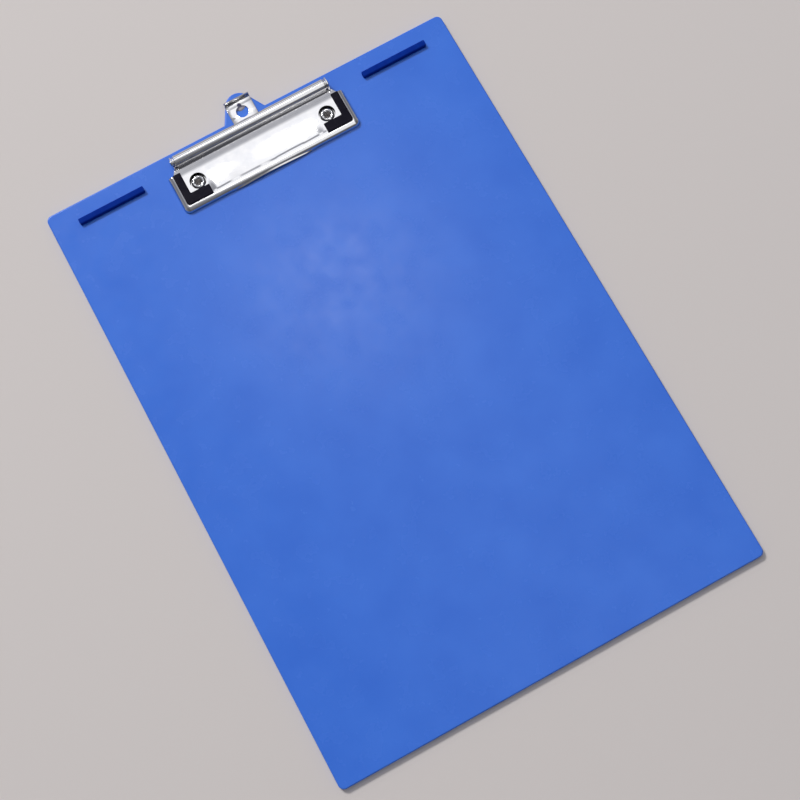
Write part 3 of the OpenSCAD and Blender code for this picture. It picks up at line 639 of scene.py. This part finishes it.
def rivetShell(x, inset):
    # the tube's section turned about its axis; above the plate its radius and height swing with the petals,
    # by the root of the absolute cosine of half the petals' angle
    r = rivetTube
    rim = (r["head"], r["foot"] + r["headRim"])
    profile = np.concatenate([
        [(r["bore"], r["foot"])], arc(rim, r["headRim"], -90, 90, 13),
        [(r["radius"], r["foot"] + 2 * r["headRim"]), (r["radius"], r["plateTop"])],
        arc(r["rollCentre"], r["rollIn"], 180, -r["rollDip"], 25),
        arc(r["rollCentre"], r["rollOut"], -r["rollDip"], 180, 41)])

    def petals(angle, radius, z):
        (foot, rise), (root, reach) = r["petalFoot"], r["petalRoot"]
        share = bend((z - foot) / rise) * bend((radius - root) / reach)
        swing = share * r["petalDepth"] * (np.abs(np.cos(angle * r["petals"] / 2 + x)) ** 0.5 - 1)
        return radius + swing, z + r["petalDrop"] * swing

    return revolve(profile, (x, boardTop - inset, 0), petals, 168)


for hole, side in zip(clampSheet["holes"], ("left", "right")):
    rivet = addPiece("rivetTube_" + side, [rivetShell(*hole)], nickel)
    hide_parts("rivet_" + side)
    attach(rivet, "board_body")
print("rivets made")


# the pin: a rod through the barrel with a domed head at each end
hingePin = {"radius": 1.0, "headRadius": 1.6, "headAt": 44.25, "headHeight": 0.5, "headEdge": 0.12,
            "domeEnd": 80, "seam": 0.5, "pole": 0.02}


def pinShell():
    # the half profile of one end and its mirror image, turned about the axis and laid along x
    p = hingePin
    edge, top = p["headAt"] + p["headEdge"], p["headAt"] + p["headHeight"]
    dome = np.radians(np.linspace(0, p["domeEnd"], 9))
    end = np.stack([p["headRadius"] * np.cos(dome), edge + (top - edge) * np.sin(dome)], -1)
    half = np.concatenate([[(p["radius"], p["seam"]), (p["radius"], p["headAt"]), (p["headRadius"], p["headAt"])],
                           end, [(p["pole"], top)]])
    profile = np.concatenate([half, half[::-1] * [1, -1]])
    points, faces = revolve(profile, (0, 0, 0), around=48)
    inset, height = clampSheet["axis"]
    return outward(points[:, [2, 0, 1]] + [0, boardTop - inset, height], faces)


pin = addPiece("hingePin", [pinShell()], steel, 50)
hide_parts("hinge_pin")
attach(pin, "board_body")


# the hinge spring: a coil on the pin, one leg under the base plate's bridge, one on the roll's free edge
hingeSpring = {"wire": 0.4, "coil": 1.6, "pitch": 1.3, "turns": 18, "baseLeg": 9.0, "clampLeg": 3.0,
               "startAngle": -5.0, "legOff": 0.45, "baseBend": 1.0, "clampBend": 0.6, "baseLegHeight": -3.4}


def springPath():
    # angles run from straight ahead, up over the top; the coil climbs by one pitch each turn
    h = hingeSpring
    rollEnd = clampSheet["rollEnd"]
    reach = h["coil"] + h["clampBend"]
    bendAngle = rollEnd + 90 - math.degrees(math.acos((h["legOff"] - h["clampBend"]) / reach))
    endAngle = bendAngle + 360 * h["turns"]
    firstX = -h["pitch"] * (endAngle - h["startAngle"]) / 720
    # the base leg runs level, then turns up into the coil's side
    side = h["coil"] * math.cos(math.radians(h["startAngle"]))
    turn = arc((side + h["baseBend"], h["baseLegHeight"] + h["baseBend"]), h["baseBend"], 270, 180, 10)
    level = np.linspace(h["baseLeg"], turn[0, 0], 14)[:-1]
    leg = np.concatenate([np.stack([level, np.full(len(level), h["baseLegHeight"])], -1), turn])
    # the clamp leg bends back from the coil's end and runs out along the roll's free edge
    coil = arc((0, 0), h["coil"], h["startAngle"], endAngle, 32 * h["turns"])
    angle = math.radians(bendAngle)
    centre = (reach * math.cos(angle), reach * math.sin(angle))
    hook = arc(centre, h["clampBend"], bendAngle + 180, rollEnd + 90, 10)[1:]
    edge = math.radians(rollEnd)
    last = np.array([h["clampLeg"] * math.cos(edge) - h["legOff"] * math.sin(edge),
                     h["clampLeg"] * math.sin(edge) + h["legOff"] * math.cos(edge)])
    tail = hook[-1] + (last - hook[-1]) * np.linspace(0, 1, 8)[1:, None]
    x = np.concatenate([np.full(len(leg), firstX), np.linspace(firstX, -firstX, len(coil)),
                        np.full(len(hook) + len(tail), -firstX)])
    ahead, up = np.concatenate([leg, coil, hook, tail]).T
    inset, height = clampSheet["axis"]
    return np.stack([x, boardTop - inset - ahead, height + up], -1)


def springTube():
    # rings of the wire's radius round the path, turned so that they start from the x axis
    path = springPath()
    along = np.gradient(path, axis=0)
    along /= np.linalg.norm(along, axis=1)[:, None]
    first = np.array([1.0, 0, 0]) - along[:, :1] * along
    first /= np.linalg.norm(first, axis=1)[:, None]
    second = np.cross(along, first)
    k = np.linspace(0, 2 * np.pi, 14, endpoint=False)[None, :, None]
    ring = np.cos(k) * first[:, None] + np.sin(k) * second[:, None]
    return loopTube(path[:, None] + hingeSpring["wire"] * ring)


springPiece = addPiece("hingeSpring", [springTube()], steel, 60)
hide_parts("torsion_spring")
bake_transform(springPiece)
print("pin and spring made")


# the hook: a strip with a round hole and nail slot, a slight crank each side of them, and an upturned lip
hookStrip = {"halfWidth": 7.0, "halfThickness": 0.4, "edge": 0.22, "tail": 29.6,
             "middle": 3.42,       # leaves 0.02 mm between the strip and the board's face
             "lipRoot": 7.83, "lipLength": 2.2, "lipAngle": 58, "lipBend": 0.9,
             "crankFrom": -1, "crankRise": 0.16, "crankUp": (-0.3, 1.5), "crankDown": (5.3, 1.2),
             # outset and radius of the hole; half width and ends of the slots
             "hole": (2.0, 3.25), "nailSlot": (1.0, 3.0, 6.0), "guideSlot": (1.2, -27.6, -12.6),
             "cutHeights": (2.4, 4.8)}


def hookPath():
    # outset and height of the strip's middle: level, up and down at the cranks, then round the bend to the lip
    h = hookStrip
    reach = h["lipBend"] * math.tan(math.radians(h["lipAngle"] / 2))
    bendAt = h["lipRoot"] - reach
    out = np.concatenate([np.linspace(-h["tail"], h["crankFrom"], 30), np.linspace(h["crankFrom"], bendAt, 50)[1:]])
    (upAt, upLength), (downAt, downLength) = h["crankUp"], h["crankDown"]
    height = h["middle"] + h["crankRise"] * (bend((out - upAt) / upLength) - bend((out - downAt) / downLength))
    turn = arc((bendAt, h["middle"] + h["lipBend"]), h["lipBend"], -90, h["lipAngle"] - 90, 12)[1:]
    lean = np.array([math.cos(math.radians(h["lipAngle"])), math.sin(math.radians(h["lipAngle"]))])
    root = np.array([h["lipRoot"], h["middle"]])
    lip = root + lean * np.linspace(reach, h["lipLength"] + h["halfThickness"], 8)[1:, None]
    return np.concatenate([np.stack([out, height], -1), turn, lip])


def hookShell():
    # a flat section with rounded edges, carried along the path
    h = hookStrip
    path = hookPath()
    along = np.gradient(path, axis=0)
    along /= np.linalg.norm(along, axis=1)[:, None]
    w, d, r = h["halfWidth"], h["halfThickness"], h["edge"]
    section = np.concatenate([arc((w - r, d - r), r, 0, 90, 6), arc((r - w, d - r), r, 90, 180, 6),
                              arc((r - w, r - d), r, 180, 270, 6), arc((w - r, r - d), r, 270, 360, 6)])
    x, up = section.T
    out = path[:, :1] - along[:, 1:] * up
    height = path[:, 1:] + along[:, :1] * up
    return loopTube(np.stack([x + 0 * out, boardTop + out, height], -1))


def slotOutline(half, first, last):
    # a slot with round ends between two outsets, as x and outset
    return np.concatenate([arc((0, last), half, 0, 180, 16), arc((0, first), half, 180, 360, 16)])


holeOutset, holeRadius = hookStrip["hole"]
cutStrip = hookShell()
for outline in (circle((0, holeOutset), holeRadius, 60), slotOutline(*hookStrip["nailSlot"]),
                slotOutline(*hookStrip["guideSlot"])):
    # each outline of x and outset is carried up through the strip and cut out of it
    cutter = prism(outline, *hookStrip["cutHeights"], lambda a, b, h: (a, boardTop + b, h))
    cutStrip = cutShell(cutStrip, [cutter])
hook = addPiece("hangingHook", [cutStrip], nickel)
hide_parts("hanging_hook")
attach(hook, "hook")
print("hook made")
